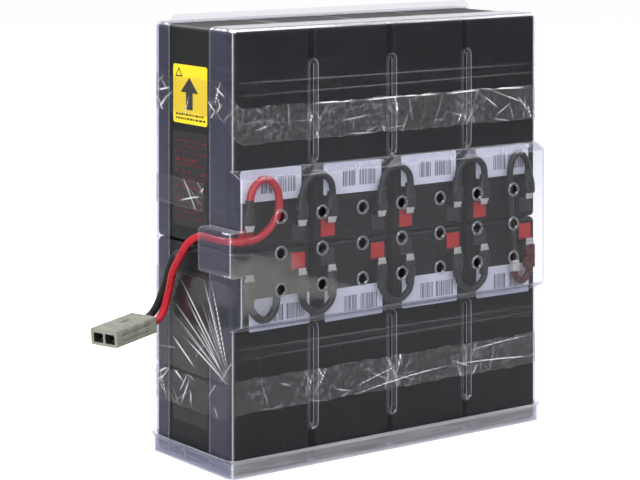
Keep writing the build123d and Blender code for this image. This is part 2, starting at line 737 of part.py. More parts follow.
def tape_wrap(low_z, high_z):
    """One closed turn of tape round the pack's girth."""
    inner = TAPE_CLEARANCE
    outer = TAPE_CLEARANCE + TAPE_THICKNESS
    with BuildPart() as wrap:
        with BuildSketch(Plane.XY.offset(low_z)):
            RectangleRounded(PACK_WIDTH + 2 * outer, PACK_DEPTH + 2 * outer, SHELL_CORNER_R + outer)
            RectangleRounded(
                PACK_WIDTH + 2 * inner,
                PACK_DEPTH + 2 * inner,
                SHELL_CORNER_R + inner,
                mode=Mode.SUBTRACT,
            )
        extrude(amount=high_z - low_z)
    return wrap.part


save(tape_wrap(*UPPER_TAPE), "tape_upper")
save(tape_wrap(*LOWER_TAPE), "tape_lower")
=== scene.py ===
import json
import math
import random

import bpy
import numpy as np
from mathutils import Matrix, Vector


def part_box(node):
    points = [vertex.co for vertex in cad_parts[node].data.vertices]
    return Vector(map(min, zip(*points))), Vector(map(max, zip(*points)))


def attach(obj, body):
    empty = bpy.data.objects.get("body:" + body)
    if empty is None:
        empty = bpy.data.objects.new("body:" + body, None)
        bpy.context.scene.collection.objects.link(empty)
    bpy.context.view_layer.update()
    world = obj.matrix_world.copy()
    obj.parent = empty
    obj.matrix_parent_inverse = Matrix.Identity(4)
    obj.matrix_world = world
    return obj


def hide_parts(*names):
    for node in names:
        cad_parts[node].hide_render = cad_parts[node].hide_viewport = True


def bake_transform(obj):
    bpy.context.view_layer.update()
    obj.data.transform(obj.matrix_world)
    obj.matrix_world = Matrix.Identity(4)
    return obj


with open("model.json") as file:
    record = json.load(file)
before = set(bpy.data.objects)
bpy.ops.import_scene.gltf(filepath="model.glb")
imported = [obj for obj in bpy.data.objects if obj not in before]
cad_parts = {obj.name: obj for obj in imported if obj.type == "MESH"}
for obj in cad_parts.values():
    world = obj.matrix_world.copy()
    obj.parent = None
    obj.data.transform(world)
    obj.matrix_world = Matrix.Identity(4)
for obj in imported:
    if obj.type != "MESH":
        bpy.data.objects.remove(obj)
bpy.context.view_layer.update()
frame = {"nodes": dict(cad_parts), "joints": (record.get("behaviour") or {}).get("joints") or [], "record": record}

MM = 0.001
PACK = "pack"
joints = {joint["name"]: joint for joint in frame["joints"]}


# ---------------------------------------------------------------- materials


class Graph:
    """A material's node tree, built one node at a time."""

    def __init__(self, name):
        self.material = bpy.data.materials.new(name)
        self.material.use_nodes = True
        self.tree = self.material.node_tree
        self.tree.nodes.clear()
        self.where = self.add("TexCoord", out="Object")

    def add(self, kind, inputs=(), out=0, **settings):
        node = self.tree.nodes.new("ShaderNode" + kind)
        for key, value in settings.items():
            setattr(node, key, value)
        for key, value in dict(inputs).items():
            if isinstance(value, bpy.types.NodeSocket):
                self.tree.links.new(value, node.inputs[key])
            else:
                node.inputs[key].default_value = value
        return node.outputs[out]

    def math(self, operation, a, b=0.0, clamp=False):
        return self.add("Math", {0: a, 1: b}, operation=operation, use_clamp=clamp)

    def ramp(self, value, low, high, to_low=0.0, to_high=1.0):
        return self.add("MapRange", {0: value, 1: low, 2: high, 3: to_low, 4: to_high})

    def noise(self, scale, detail=3.0, stretch=(1.0, 1.0, 1.0), turn=(0.0, 0.0, 0.0)):
        where = self.add("Mapping", {"Vector": self.where, "Scale": stretch, "Rotation": turn})
        return self.add("TexNoise", {"Vector": where, "Scale": scale, "Detail": detail})

    def mix(self, factor, a, b):
        return self.add("Mix", {0: factor, 6: rgba(a), 7: rgba(b)}, out=2, data_type="RGBA")

    def blend(self, factor, a, b):
        return self.add("MixShader", {0: factor, 1: a, 2: b})

    def edges(self, radius, low, high):
        """Mask that is 1 on sharp edges of the mesh and 0 on its flats."""
        soft = self.add("Bevel", {"Radius": radius}, samples=2)
        flat = self.add("NewGeometry", out="Normal")
        along = self.add("VectorMath", {0: soft, 1: flat}, out="Value", operation="DOT_PRODUCT")
        return self.ramp(self.math("SUBTRACT", 1.0, along), low, high)

    def bump(self, height, distance, normal=None):
        inputs = {"Height": height, "Distance": distance, "Strength": 1.0}
        if normal is not None:
            inputs["Normal"] = normal
        return self.add("Bump", inputs)

    def schlick(self, normal, at_normal, gain=1.0):
        """Share of light a thin clear sheet reflects, the same from either side."""
        incoming = self.add("NewGeometry", out="Incoming")
        facing = self.add("VectorMath", {0: incoming, 1: normal}, out="Value", operation="DOT_PRODUCT")
        grazing = self.math("SUBTRACT", 1.0, self.math("ABSOLUTE", facing), clamp=True)
        rise = self.math("MULTIPLY", self.math("POWER", grazing, 5.0), 1.0 - at_normal)
        share = self.math("ADD", rise, at_normal)
        return self.math("MULTIPLY", share, gain, clamp=True)

    def parts(self, vector):
        """The x, y and z sockets of a vector."""
        return self.add("SeparateXYZ", {0: vector}).node.outputs

    def finish(self, shader):
        output = self.tree.nodes.new("ShaderNodeOutputMaterial")
        self.tree.links.new(shader, output.inputs["Surface"])
        return self.material


def rgba(colour):
    """A colour or a socket, with alpha added to a bare colour."""
    return colour if isinstance(colour, bpy.types.NodeSocket) else (*colour, 1.0)


def scaled(colour, factor):
    return tuple(min(1.0, channel * factor) for channel in colour)


def surface(
    name, colour, rough, metal=0.0, grain=900.0, patches=60.0, tint=0.2, bump=0.03, wear=0.3, gloss=0.5
):
    """Opaque finish with drifting colour, uneven roughness, fine grain and rubbed edges."""
    g = Graph(name)
    coarse = g.noise(patches, 4.0)
    fine = g.noise(grain, 3.0)
    base = g.mix(coarse, scaled(colour, 1 - tint), scaled(colour, 1 + tint))
    rubbed = g.math("MULTIPLY", g.edges(0.5 * MM, 0.02, 0.3), g.noise(260.0, 2.0))
    pale = tuple(min(1.0, channel * 1.5 + 0.06) for channel in colour)
    base = g.mix(g.math("MULTIPLY", rubbed, wear * 2), base, pale)
    shader = g.add(
        "BsdfPrincipled",
        {
            "Base Color": base,
            "Roughness": g.ramp(coarse, 0.3, 0.7, max(0.03, rough - 0.07), rough + 0.09),
            "Metallic": metal,
            "Specular IOR Level": gloss,
            "Normal": g.bump(fine, bump * MM),
        },
    )
    return g.finish(shader)


shell_half_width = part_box("rear_shell")[1].x
shell_low, shell_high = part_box("front_shell")
tape_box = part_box("tape_upper")
front_face_y = tape_box[0].y + 0.3 * MM

SMOKE_COLOUR = (0.29, 0.29, 0.275)
SMOKE_SHARE = 0.27
SMOKE_REACH = (104 * MM, 62 * MM)  # to the right of the black lead's left edge, at its foot and at its top
SMOKE_FOOT = (42 * MM, 33 * MM)  # below the black lead's top, where it fades in
SMOKE_TOP = (10 * MM, 3 * MM)  # below the black lead's top, where it fades out
LEVEL_SHEEN = 0.3  # painted sheen: level surfaces whiten as they are seen almost edge-on
# Colours of the scatter: front, side, tape, and the highlights. The side one is a painted bluish sheen, the last
# the white of painted highlights along folds.
FRONT_MILK = (0.56, 0.56, 0.59)
SIDE_SHEEN = (0.45, 0.45, 0.72)
TAPE_MILK = (0.58, 0.58, 0.6)
FOLD_HIGHLIGHT = (0.9, 0.9, 0.92)


def clear_sheet(
    name, tint, edge_tint, rough, at_normal, painted_upper_light, painted_side_sheen, fold_highlight_strength, smoke=False, mottle=None, cloudy=0.0
):
    """Thin clear plastic, darker and more mirror-like edge-on, a little hazy, with painted highlights along its
    folds.

    at_normal is the share of light reflected face-on. The next two shares are painted light: a whitening that
    grows towards the top and on the band proud of the face, and a bluish sheen on the walls that face left or
    right. cloudy is a real, even clouding of everything. The share after them is the strength of the painted
    highlights along folds, outer corners and sharp edges. smoke adds a dull patch, and mottle, a low and a high
    share, adds speckle and painted highlights on the tape's own creases.
    """
    g = Graph(name)
    swell = g.noise(22.0, 2.0)
    drawn = g.noise(60.0, 3.0, stretch=(0.5, 0.5, 14.0))
    normal = g.bump(swell, 0.5 * MM)
    normal = g.bump(drawn, 0.03 * MM, normal)
    glossy = g.add(
        "BsdfAnisotropic",
        {
            "Color": (1, 1, 1, 1),
            "Roughness": g.ramp(swell, 0.3, 0.7, rough * 0.6, rough * 1.5),
            "Normal": normal,
        },
    )
    flat = g.add("NewGeometry", out="Normal")
    incoming = g.add("NewGeometry", out="Incoming")
    facing = g.add("VectorMath", {0: incoming, 1: flat}, out="Value", operation="DOT_PRODUCT")
    facing = g.math("ABSOLUTE", facing)
    tilted = g.ramp(facing, 0.75, 0.05)
    through = g.add("BsdfTransparent", {"Color": g.mix(tilted, tint, edge_tint)})
    sheet = g.blend(g.schlick(normal, at_normal), through, glossy)

    # Painted highlights: upright outer corners, streaks on the level faces of the band and the top, and sharp
    # edges are whitened as if catching the lamps.
    x, y, z = (g.math("ABSOLUTE", axis) for axis in g.parts(flat))
    place = g.parts(g.where)
    outermost = g.math("GREATER_THAN", g.math("ABSOLUTE", place[0]), 0.92 * shell_half_width)
    upright = g.math("MULTIPLY", g.math("MULTIPLY", x, y), outermost)
    proud = g.math("LESS_THAN", place[1], front_face_y)
    near_top = g.math("GREATER_THAN", place[2], 0.96 * shell_high.z)
    sloped = g.math("MULTIPLY", z, g.math("ADD", x, y))
    level = g.math("MULTIPLY", sloped, g.math("MAXIMUM", proud, near_top))
    streaks = g.ramp(g.noise(420.0, 2.0, stretch=(0.02, 1, 1)), 0.42, 0.6, 0.25, 1.0)
    level_highlight = g.math("MULTIPLY", g.ramp(level, 0.4, 0.5), streaks)
    fold_highlight = g.math("MAXIMUM", g.ramp(upright, 0.46, 0.5, 0.0, 0.4), level_highlight)
    fold_highlight = g.math("MAXIMUM", fold_highlight, g.edges(0.5 * MM, 0.02, 0.3))

    # Painted light: the scatter grows towards the top, on walls that face left or right and on the band proud of
    # the face; only the cloudy share is even.
    rise = g.ramp(place[2], 0.03, 0.3, 0.0, 1.0)
    haze_and_painted_light = g.math("ADD", g.math("MULTIPLY", x, painted_side_sheen), g.math("MULTIPLY", rise, painted_upper_light))
    haze_and_painted_light = g.math("ADD", haze_and_painted_light, g.math("MULTIPLY", g.math("MULTIPLY", proud, y), 1.5 * painted_upper_light))
    haze_and_painted_light = g.math("MULTIPLY", g.math("ADD", haze_and_painted_light, cloudy), g.ramp(drawn, 0.35, 0.75, 0.7, 1.4))
    # Painted sheen: level surfaces whiten as they are seen edge-on.
    grazing = g.math("POWER", g.math("SUBTRACT", 1.0, facing, clamp=True), 4.0)
    haze_and_painted_light = g.math("ADD", haze_and_painted_light, g.math("MULTIPLY", g.math("MULTIPLY", z, grazing), LEVEL_SHEEN))

    share = g.math("ADD", haze_and_painted_light, g.math("MULTIPLY", fold_highlight, fold_highlight_strength))
    if mottle:
        # Painted highlights on the tape's sharp creases; then speckle in clumps.
        raised = g.add("Attribute", out="Fac", attribute_name="crease")
        share = g.math("ADD", share, g.math("MULTIPLY", g.math("POWER", raised, 2.2), 0.85))
        speckle = g.math("MULTIPLY", g.ramp(g.noise(260.0, 5.0), 0.48, 0.7, *mottle), y)
        clumps = g.ramp(g.noise(26.0, 2.0), 0.4, 0.62, 0.3, 1.15)
        share = g.math("ADD", share, g.math("MULTIPLY", speckle, clumps))
    whiteness = g.math("ADD", fold_highlight, g.ramp(share, 0.1, 0.4), clamp=True)
    # The side colour is a painted bluish sheen for walls facing left or right, and the last colour is the white of
    # the painted highlights.
    thin = g.mix(x, FRONT_MILK, TAPE_MILK if mottle else SIDE_SHEEN)
    scatter_and_highlight_colour = g.mix(whiteness, thin, FOLD_HIGHLIGHT)
    if smoke:
        dulled = smoke_share(g)
        share = g.math("ADD", share, dulled)
        scatter_and_highlight_colour = g.mix(g.math("MULTIPLY", dulled, 5.0, clamp=True), scatter_and_highlight_colour, SMOKE_COLOUR)
    scattered = g.add("BsdfDiffuse", {"Color": scatter_and_highlight_colour})
    return g.finish(g.blend(g.math("MULTIPLY", share, 1.0, clamp=True), sheet, scattered))


def smoke_share(g):
    """Dull patch where the band rubs the leads: left end, lower half of the band's face."""
    low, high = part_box("lead_black_inner")
    place = g.parts(g.where)
    wander = g.ramp(g.noise(38.0, 2.0), 0.3, 0.7, -6 * MM, 6 * MM)
    across = g.math("ADD", place[0], wander)
    up = g.math("ADD", place[2], wander)
    foot_reach, top_reach = (low.x + reach for reach in SMOKE_REACH)
    reach = g.ramp(up, high.z - 34 * MM, high.z - 14 * MM, foot_reach, top_reach)
    right = g.ramp(g.math("SUBTRACT", reach, across), 0.0, 16 * MM)
    top = g.ramp(up, *(high.z - drop for drop in SMOKE_TOP), 1.0, 0.0)
    bottom = g.ramp(up, *(high.z - drop for drop in SMOKE_FOOT), 0.0, 1.0)
    front = g.math("LESS_THAN", place[1], shell_low.y + 1.2 * MM)
    share = g.math("MULTIPLY", g.math("MULTIPLY", right, top), g.math("MULTIPLY", bottom, front))
    return g.math("MULTIPLY", share, SMOKE_SHARE)


def tinted_sleeve(name, colour, clarity):
    """Half-clear shrink tube: part tinted see-through film, part satin plastic."""
    g = Graph(name)
    cloud = g.noise(180.0, 3.0)
    ribs = g.noise(120.0, 2.0, stretch=(1, 1, 7))
    normal = g.bump(ribs, 0.25 * MM)
    skin = g.add(
        "BsdfPrincipled",
        {
            "Base Color": g.mix(cloud, scaled(colour, 0.7), scaled(colour, 1.5)),
            "Roughness": g.ramp(cloud, 0.3, 0.7, 0.2, 0.42),
            "Normal": normal,
        },
    )
    through = g.add("BsdfTransparent", {"Color": rgba(scaled(colour, 7.0))})
    return g.finish(g.blend(g.ramp(cloud, 0.3, 0.75, clarity, clarity * 0.4), skin, through))


finishes = {
    "clear_shell": clear_sheet(
        "clear_shell", (0.93, 0.93, 0.95), (0.62, 0.63, 0.72), 0.05, 0.016, 0.008, 0.031, 0.55, smoke=True
    ),
    "clear_tape": clear_sheet(
        "clear_tape", (0.97,) * 3, (0.85, 0.85, 0.88), 0.14, 0.012, 0.01, 0.0, 0.05, mottle=(0.005, 0.11)
    ),
    "case_abs": surface("case_abs", (0.0075, 0.0085, 0.0095), 0.42, bump=0.02, wear=0.1, gloss=0.3),
    "lid_abs": surface("lid_abs", (0.005, 0.0055, 0.006), 0.36, bump=0.008, wear=0.12, gloss=0.16),
    "lead_grey": surface("lead_grey", (0.2, 0.2, 0.21), 0.5, metal=0.9, bump=0.1),
    "valve_rubber": surface("valve_rubber", (0.01, 0.01, 0.01), 0.65, bump=0.05),
    "red_insert": surface("red_insert", (0.4, 0.007, 0.007), 0.35, bump=0.03, wear=0.1),
    "black_insert": surface("black_insert", (0.012, 0.012, 0.013), 0.35, bump=0.03, wear=0.15),
    "tinned_tab": surface("tinned_tab", (0.72, 0.7, 0.66), 0.28, metal=1.0, bump=0.03),
    "spring_steel": surface("spring_steel", (0.5, 0.5, 0.5), 0.3, metal=1.0, bump=0.02),
    "sleeve_black": tinted_sleeve("sleeve_black", (0.022, 0.022, 0.022), 0.35),
    "sleeve_red": tinted_sleeve("sleeve_red", (0.09, 0.02, 0.018), 0.5),
    "wire_black": surface("wire_black", (0.01, 0.01, 0.011), 0.34, bump=0.03, wear=0.1, gloss=0.4),
    "wire_red": surface("wire_red", (0.4, 0.004, 0.014), 0.3, bump=0.03, wear=0.1),
    "connector_grey": surface(
        "connector_grey", (0.23, 0.235, 0.19), 0.28, patches=150.0, tint=0.4, bump=0.08
    ),
    "label_yellow": surface("label_yellow", (0.86, 0.62, 0.01), 0.4, tint=0.06, bump=0.01),
    "label_dark": surface("label_dark", (0.014, 0.012, 0.014), 0.4, bump=0.01),
    "label_white": surface("label_white", (0.58, 0.6, 0.68), 0.45, tint=0.07, bump=0.01),
    "foam": surface("foam", (0.03, 0.03, 0.032), 0.9, grain=1400.0, bump=0.25),
}
ink_black = surface("ink_black", (0.015, 0.015, 0.015), 0.5, bump=0.01)
ink_grey = surface("ink_grey", (0.09, 0.09, 0.11), 0.5, bump=0.01)
ink_red = surface("ink_red", (0.1, 0.007, 0.008), 0.5, bump=0.01)

for part in frame["record"]["subparts"]:
    mesh = frame["nodes"][part["node"]].data
    mesh.materials.clear()
    mesh.materials.append(finishes[part["material_slot"]])
frame["nodes"]["base_tray"].data.materials[0] = clear_sheet(
    "clear_tray", (0.92, 0.925, 0.945), (0.55, 0.57, 0.66), 0.06, 0.03, 0.0, 0.0, 0.35, cloudy=0.16
)


film = clear_sheet(
    "film", (0.99, 0.99, 0.99), (0.9, 0.9, 0.92), 0.2, 0.004, 0.0, 0.0, 0.0, mottle=(0.0, 0.012)
)


# ---------------------------------------------------------------- geometry helpers


def piece(name, verts, faces, slot, body=PACK, material=None, sharp=40.0):
    """New mesh piece with a finish, riding a body if one is given."""
    mesh = bpy.data.meshes.new(name)
    mesh.from_pydata([tuple(v) for v in verts], [], faces)
    mesh.validate()
    mesh.polygons.foreach_set("use_smooth", [True] * len(mesh.polygons))
    mesh.set_sharp_from_angle(angle=math.radians(sharp))
    mesh.materials.append(material or finishes[slot])
    made = bpy.data.objects.new(name, mesh)
    bpy.context.scene.collection.objects.link(made)
    if body:
        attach(made, body)
    return made


def loft_faces(count, rings, first=0):
    """Quads between rings of vertices, with both ends closed."""
    faces = []
    for i in range(rings - 1):
        for j in range(count):
            a = first + i * count + j
            b = first + i * count + (j + 1) % count
            faces.append((a, b, b + count, a + count))
    faces.append(tuple(first + j for j in reversed(range(count))))
    faces.append(tuple(first + (rings - 1) * count + j for j in range(count)))
    return faces


def bezier_run(points, start_direction, end_direction, step=0.9 * MM):
    """Points along a chain of Bezier curves, smooth at every joint."""
    knots = [Vector(point) for point in points]
    directions = [Vector(start_direction).normalized()]
    directions += [(after - before).normalized() for before, after in zip(knots, knots[2:])]
    directions.append(Vector(end_direction).normalized())
    run = [knots[0]]
    for i in range(len(knots) - 1):
        gap = (knots[i + 1] - knots[i]).length
        near = knots[i] + directions[i] * gap * 0.36
        far = knots[i + 1] - directions[i + 1] * gap * 0.36
        count = max(3, round(gap / step))
        for k in range(1, count + 1):
            t = k / count
            u = 1 - t
            run.append(
                knots[i] * u**3 + near * 3 * u * u * t + far * 3 * u * t * t + knots[i + 1] * t**3
            )
    return run


def tube_rings(run, radius, sides=20):
    """Rings of points round a run, turned as little as possible from one to the next."""
    rings = []
    side = None
    for i, centre in enumerate(run):
        ahead = (run[min(i + 1, len(run) - 1)] - run[max(i - 1, 0)]).normalized()
        if side is None:
            side = ahead.orthogonal().normalized()
        side = (side - ahead * side.dot(ahead)).normalized()
        up = ahead.cross(side)
        rings.append(
            [
                centre
                + side * (radius * math.cos(math.tau * k / sides))
                + up * (radius * math.sin(math.tau * k / sides))
                for k in range(sides)
            ]
        )
    return rings


def prisms(name, outlines, origin, across, up, thickness, slot, material=None):
    """Thin raised shapes, one closed prism per outline, standing off a plane along across x up."""
    origin, across, up = Vector(origin), Vector(across), Vector(up)
    out = across.cross(up).normalized() * thickness
    verts, faces = [], []
    for outline in outlines:
        first = len(verts)
        flat = [origin + across * u + up * v for u, v in outline]
        verts += flat + [point + out for point in flat]
        faces += loft_faces(len(outline), 2, first)
    return piece(name, verts, faces, slot, material=material, sharp=30.0)


def rectangle(u, v, width, height, turn=0.0):
    corners = [(-0.5, -0.5), (0.5, -0.5), (0.5, 0.5), (-0.5, 0.5)]
    c, s = math.cos(turn), math.sin(turn)
    placed = [(x * width, y * height) for x, y in corners]
    return [(u + x * c - y * s, v + x * s + y * c) for x, y in placed]


def islands(node):
    """Low and high corners of the separate solids in a CAD node, left to right and bottom to top."""
    mesh = frame["nodes"][node].data
    points = np.array([v.co for v in mesh.vertices])
    keys, inverse = np.unique(np.round(points / (0.002 * MM)).astype(np.int64), axis=0, return_inverse=True)
    inverse = inverse.reshape(-1)
    parent = list(range(len(keys)))

    def root(i):
        while parent[i] != i:
            parent[i] = parent[parent[i]]
            i = parent[i]
        return i

    for polygon in mesh.polygons:
        ring = [root(int(inverse[v])) for v in polygon.vertices]
        for other in ring[1:]:
            parent[root(other)] = root(ring[0])
    groups = {}
    for i in range(len(points)):
        groups.setdefault(root(int(inverse[i])), []).append(i)
    boxes = [(Vector(points[g].min(0)), Vector(points[g].max(0))) for g in groups.values()]
    return sorted(boxes, key=lambda b: (round(b[0].x, 4), b[0].z))


# ---------------------------------------------------------------- clear tape

TAPE_GAP = 0.32 * MM
TAPE_THICK = 0.16 * MM
half_x = tape_box[1].x - TAPE_GAP
half_y = tape_box[1].y - TAPE_GAP
CORNER = 4.1 * MM
CORNER_STEPS = 7
GRID_STEP = 1.1 * MM
COLUMN_STEP = 0.6 * MM
EDGE_WAVE = 0.25 * MM
RAGGED_END = 1.2 * MM
RIPPLE = 0.04 * MM


def girth():
    """Points and outward directions round the pack: front, left side, rear, right side."""
    x, y = half_x - CORNER, half_y - CORNER
    corners = [(-x, -y, -90), (-x, y, -180), (x, y, -270), (x, -y, -360)]
    walls = [((x, -y), (-x, -y)), ((-x, -y), (-x, y)), ((-x, y), (x, y)), ((x, y), (x, -y))]
    places, outs = [], []
    for (start, end), (cx, cy, angle) in zip(walls, corners):
        normal = Vector((math.cos(math.radians(angle)), math.sin(math.radians(angle))))
        start, end = Vector(start) + normal * CORNER, Vector(end) + normal * CORNER
        count = round((end - start).length / GRID_STEP)
        for i in range(count):
            places.append(start.lerp(end, i / count))
            outs.append(normal)
        for i in range(CORNER_STEPS):
            turned = math.radians(angle - 90 * i / CORNER_STEPS)
            normal_here = Vector((math.cos(turned), math.sin(turned)))
            places.append(Vector((cx, cy)) + normal_here * CORNER)
            outs.append(normal_here)
    return np.array(places), np.array(outs)


girth_places, girth_outs = girth()
steps = np.linalg.norm(np.roll(girth_places, -1, axis=0) - girth_places, axis=1)
girth_run = np.concatenate([[0.0], np.cumsum(steps)[:-1]])
GIRTH = float(steps.sum())
FRONT_LENGTH = 2 * (half_x - CORNER)
SIDE_START = FRONT_LENGTH + CORNER * math.pi / 2
SIDE_LENGTH = 2 * (half_y - CORNER)


def run_at_front(x):
    """Distance round the girth of a point on the front."""
    return half_x - CORNER - x


def run_at_left(y):
    """Distance round the girth of a point on the left side."""
    return SIDE_START + y + half_y - CORNER


LONG_FOLD = 150 * MM


def crease_field(run, height, creases):
    """Height of the folds in a tape, and how sharp they are, at each point of a grid."""
    raised = np.zeros_like(run)
    sharp = np.zeros_like(run)
    for at, z, angle, length, width, tall in creases:
        along = (run - at) * math.cos(angle) + (height - z) * math.sin(angle)
        off = (height - z) * math.cos(angle) - (run - at) * math.sin(angle)
        if length < LONG_FOLD:
            off = off + along**2 * (0.3 * MM / width)
        window = np.exp(-((along / (length / 2)) ** 4))
        ridge = np.exp(-((off / width) ** 2)) * window
        raised += ridge * tall
        sharp = np.maximum(sharp, ridge * min(1.0, tall / (0.45 * MM)))
    return raised, sharp


def tape(name, low, high, shift, creases, span=None, seed=0, replaced=(), material=None):
    """Strip of clear tape on the girth, a closed turn or the part of it inside span."""
    dice = np.random.default_rng(seed)
    keep = slice(None)
    if span:
        inside = (girth_run >= span[0]) & (girth_run <= span[1])
        keep = np.nonzero(inside)[0]
    places, outs, along = girth_places[keep], girth_outs[keep], girth_run[keep]
    columns = max(8, round((high - low) / COLUMN_STEP))
    share = np.linspace(0.0, 1.0, columns)
    phases = dice.uniform(0, math.tau, 4)
    waves = [np.sin(math.tau * along / GIRTH * n + phase) for n, phase in zip((9, 17, 31, 53), phases)]
    edge = sum(EDGE_WAVE * wave for wave in waves)
    base = low + np.array([shift(s) for s in along]) + edge
    height = base[:, None] + share[None, :] * (high - low)
    if span:
        ragged = dice.uniform(-1.0, 1.0, columns) * RAGGED_END
        ends = np.zeros((len(along), columns))
        ends[0] = ragged
        ends[-1] = ragged[::-1]
    grid_run = np.repeat(along[:, None], columns, axis=1)
    raised, sharp = crease_field(grid_run, height, creases)
    lift = raised + RIPPLE * (1 + np.sin(grid_run * 900 + height * 1400 + phases[0]))
    x = places[:, 0][:, None] + outs[:, 0][:, None] * lift
    y = places[:, 1][:, None] + outs[:, 1][:, None] * lift
    inner = np.stack([x, y, height], axis=2)
    outer = inner.copy()
    outer[:, :, 0] += outs[:, 0][:, None] * TAPE_THICK
    outer[:, :, 1] += outs[:, 1][:, None] * TAPE_THICK
    if span:
        tangents = np.stack([outs[:, 1], -outs[:, 0]], axis=1)
        for grid in (inner, outer):
            grid[:, :, 0] += tangents[:, 0][:, None] * ends
            grid[:, :, 1] += tangents[:, 1][:, None] * ends
    rows = len(along)
    verts = np.concatenate([outer.reshape(-1, 3), inner.reshape(-1, 3)])
    faces = sheet_faces(rows, columns, closed=not span)
    made = piece(name, verts, faces, "clear_tape", material=material, sharp=80.0)
    marks = made.data.attributes.new("crease", "FLOAT", "POINT")
    marks.data.foreach_set("value", np.concatenate([sharp.ravel(), sharp.ravel()]).astype(np.float32))
    if replaced:
        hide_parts(*replaced)
    return made


def sheet_faces(rows, columns, closed):
    """Faces of a thin closed sheet: outer grid first, then the inner grid, then the rims."""
    back = rows * columns
    faces = []
    for i in range(rows if closed else rows - 1):
        near, far = i * columns, (i + 1) % rows * columns
        for j in range(columns - 1):
            faces.append((near + j, near + j + 1, far + j + 1, far + j))
            faces.append((back + near + j, back + far + j, back + far + j + 1, back + near + j + 1))
        faces.append((near, far, back + far, back + near))
        top = columns - 1
        faces.append((near + top, back + near + top, back + far + top, far + top))
    if not closed:
        last = (rows - 1) * columns
        for j in range(columns - 1):
            faces.append((j, back + j, back + j + 1, j + 1))
            faces.append((last + j, last + j + 1, back + last + j + 1, back + last + j))
    return faces


def ease(value):
    value = min(1.0, max(0.0, value))
    return value * value * (3 - 2 * value)


def left_side_shift(amount):
    """Height change of a turn of tape, all of it on the left side."""

    def shift(run):
        rise = ease((run - SIDE_START + 12 * MM) / (24 * MM))
        fall = ease((run - SIDE_START - SIDE_LENGTH - 30 * MM) / (120 * MM))
        return amount * (rise - fall)

    return shift


groove_x = [0.5 * (box[0].x + box[1].x) for box in islands("column_separators")]


def front_creases(seed, low, high, count):
    """Folds where a turn crosses the grooves, and finer ones between them."""
    dice = random.Random(seed)
    made = []
    middle = (low + high) / 2
    reach = high - low
    for x in groove_x:
        for hand in (-1, 1):
            for _ in range(4):
                at = run_at_front(x + hand * dice.uniform(2.0, 8.0) * MM)
                angle = math.radians(90 + dice.uniform(-35, 35))
                z = middle + dice.uniform(-0.45, 0.45) * reach
                size = dice.uniform(0.25, 0.8) * reach
                made.append((at, z, angle, size, dice.uniform(0.5, 0.7) * MM, dice.uniform(0.12, 0.45) * MM))
    for _ in range(count):
        at = dice.uniform(0, FRONT_LENGTH)
        angle = math.radians(dice.choice((0, 0, 90)) + dice.uniform(-25, 25))
        z = middle + dice.uniform(-0.5, 0.5) * reach
        size = dice.uniform(6, 26) * MM
        made.append((at, z, angle, size, dice.uniform(0.5, 0.7) * MM, dice.uniform(0.05, 0.3) * MM))
    return made


def side_creases(seed, low, high, count, lean=60.0, clear_of_label=False):
    """Folds fanning out over the left side and round its corners."""
    dice = random.Random(seed)
    made = []
    for _ in range(count):
        if clear_of_label:
            y = dice.choice((dice.uniform(-48, -20), dice.uniform(29, 48)))
        else:
            y = dice.uniform(-46, 46)
        at = run_at_left(y * MM)
        angle = math.radians(dice.choice((-1, 1)) * dice.uniform(lean - 30, lean + 25))
        z = dice.uniform(low, high)
        size = dice.uniform(8, 16 if clear_of_label else 34) * MM
        made.append((at, z, angle, size, dice.uniform(0.5, 0.75) * MM, dice.uniform(0.12, 0.5) * MM))
    return made


def far_creases(seed, low, high, count):
    """Folds on the rear and the right side, thickest at the corners."""
    dice = random.Random(seed)
    rear_start = SIDE_START + SIDE_LENGTH + CORNER * math.pi / 2
    right_start = rear_start + FRONT_LENGTH + CORNER * math.pi / 2
    corners = (rear_start, rear_start + FRONT_LENGTH, right_start, right_start + SIDE_LENGTH)
    made = []
    for _ in range(count):
        at = dice.choice(corners) + dice.gauss(0, 32) * MM
        angle = math.radians(dice.uniform(-85, 85))
        z = dice.uniform(low, high)
        size = dice.uniform(7, 22) * MM
        made.append((at, z, angle, size, dice.uniform(0.5, 0.7) * MM, dice.uniform(0.1, 0.45) * MM))
    return made


upper_low, upper_high = tape_box[0].z, tape_box[1].z
lower_low, lower_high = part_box("tape_lower")[0].z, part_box("tape_lower")[1].z
FOLDED_EDGE = 4 * MM
UPPER_RISE = 17 * MM
LOWER_DROP = -5 * MM

fold_z = upper_high + FOLDED_EDGE - 1.0 * MM
edge_fold = [
    (run_at_front(x), fold_z + up, math.radians(angle), length, 0.6 * MM, 0.6 * MM)
    for x, up, angle, length in (
        (groove_x[0] + 18 * MM, 0.4 * MM, 1.0, 34 * MM),
        (groove_x[1] - 8 * MM, 0.2 * MM, -1.0, 34 * MM),
        (groove_x[1] + 24 * MM, 0.3 * MM, 1.0, 36 * MM),
        (groove_x[2] - 4 * MM, 0.1 * MM, -1.5, 30 * MM),
        (groove_x[2] + 36 * MM, 0.2 * MM, 2.0, 40 * MM),
    )
]
right_folds = [
    (run_at_front(half_x - offset), upper_low + up, math.radians(angle), 16 * MM, 0.4 * MM, 0.5 * MM)
    for offset, up, angle in (
        (8 * MM, 4 * MM, 70),
        (15 * MM, 12 * MM, 50),
        (24 * MM, 16 * MM, 20),
        (34 * MM, 9 * MM, -30),
        (46 * MM, 15 * MM, 35),
    )
]
upper_folds = front_creases(11, upper_low, upper_high, 34) + edge_fold + right_folds
upper_folds += far_creases(13, upper_low, upper_high, 40)
upper_folds += side_creases(
    12, upper_low + UPPER_RISE, upper_high + UPPER_RISE, 22, lean=40.0, clear_of_label=True
)
tape(
    "tape_turn_upper",
    upper_low,
    upper_high + FOLDED_EDGE,
    left_side_shift(UPPER_RISE),
    upper_folds,
    seed=1,
    replaced=["tape_upper"],
)

